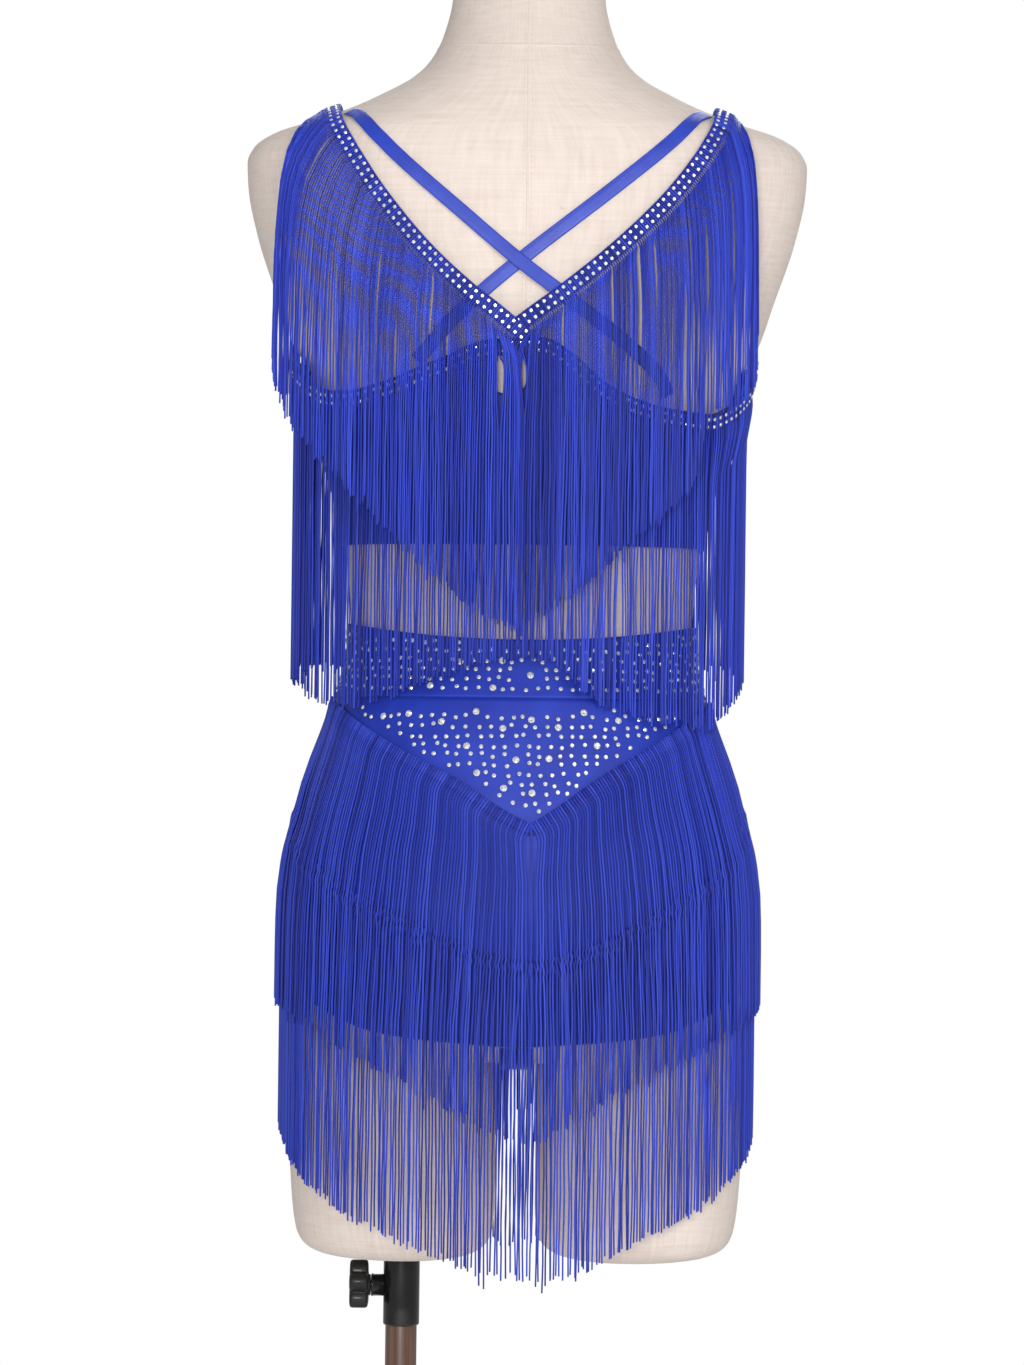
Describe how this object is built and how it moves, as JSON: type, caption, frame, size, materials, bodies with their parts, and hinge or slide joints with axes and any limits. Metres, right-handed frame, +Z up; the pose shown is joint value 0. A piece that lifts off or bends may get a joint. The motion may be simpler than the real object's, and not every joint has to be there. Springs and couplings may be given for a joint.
{
  "type": "fringed samba dance costume on a limbless dress form and its floor stand",
  "caption": "Two-piece fringed samba costume, seen from its open back, on a linen dress form that slides and clamps on an offset pole with a round base plate.",
  "frame": {"origin": "centre of the round base plate's underside, on the floor", "axes": "+Z up, -Y the costume's back (the side with the crossed straps), +X the wearer's right hand side seen from behind"},
  "size_m": [0.391, 0.38, 1.53],
  "materials": {
    "spandex": "satin stretch knit in royal blue",
    "fringe": "shiny chainette strands on a woven header tape",
    "elastic": "satin elastic with one row of stitches",
    "linen": "plain woven natural linen",
    "pole_wood": "dark brown varnish",
    "collar_steel": "black satin powder coat",
    "knob_plastic": "black moulded plastic",
    "base_steel": "black satin powder coat"
  },
  "bodies": {
    "stand": {"stand_base": "base_steel", "stand_pole": "pole_wood"},
    "form": {"pole_collar": "collar_steel", "dress_form": "linen", "bodice_back": "spandex", "bodice_front_left": "spandex", "bodice_front_right": "spandex", "strap_left": "elastic", "strap_right": "elastic", "waistband_back": "spandex", "waistband_front": "spandex", "briefs_back": "spandex", "briefs_front": "spandex", "briefs_gusset": "spandex", "fringe_neck_left": "fringe", "fringe_neck_right": "fringe", "fringe_chest": "fringe", "fringe_hip_upper": "fringe", "fringe_hip_lower": "fringe"},
    "knob": {"clamp_knob": "knob_plastic"}
  },
  "joints": [
    {"name": "form_height", "type": "slide", "parent": "stand", "child": "form", "axis": [0, 0, 1], "range_m": [-0.09, 0.18]},
    {"name": "knob_turn", "type": "hinge", "parent": "form", "child": "knob", "pos_m": [-0.1075, 0, 0.5883], "axis": [1, 0, 0], "range_deg": [0, 270]}
  ]
}
